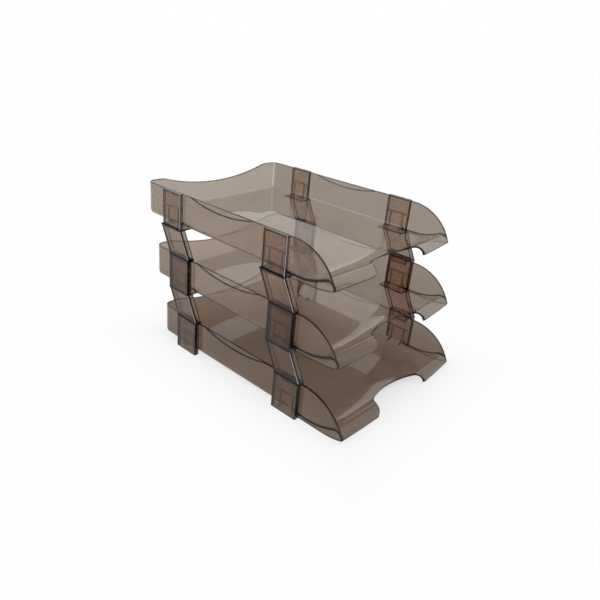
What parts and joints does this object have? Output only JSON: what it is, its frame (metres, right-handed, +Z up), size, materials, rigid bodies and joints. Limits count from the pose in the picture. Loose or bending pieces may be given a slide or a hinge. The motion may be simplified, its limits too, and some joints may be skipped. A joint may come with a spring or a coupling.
{
  "type": "stacking letter tray",
  "caption": "Stacked open-front letter trays of smoke-tinted transparent plastic on clip-on slanted risers, each tier stepped back, with a hand cut-out in each front lip.",
  "frame": {"origin": "on the desk, below the middle of the whole stack", "axes": "+Z up, +Y towards the closed rear walls, +X to the right seen from the open front"},
  "size_m": [0.2688, 0.375, 0.223],
  "materials": {
    "tray_smoke": "transparent smoke, polished",
    "riser_smoke": "transparent smoke, polished"
  },
  "bodies": {
    "base_tier": {"tray_bottom": "tray_smoke"},
    "middle_tier": {"tray_middle": "tray_smoke", "riser_lower_front_left": "riser_smoke", "riser_lower_front_right": "riser_smoke", "riser_lower_rear_left": "riser_smoke", "riser_lower_rear_right": "riser_smoke"},
    "top_tier": {"tray_top": "tray_smoke", "riser_upper_front_left": "riser_smoke", "riser_upper_front_right": "riser_smoke", "riser_upper_rear_left": "riser_smoke", "riser_upper_rear_right": "riser_smoke"}
  },
  "joints": [
    {"name": "lift_middle_tier", "type": "slide", "parent": "base_tier", "child": "middle_tier", "axis": [0, 0, 1], "range_m": [0, 0.055]},
    {"name": "lift_top_tier", "type": "slide", "parent": "middle_tier", "child": "top_tier", "axis": [0, 0, 1], "range_m": [0, 0.055]}
  ]
}
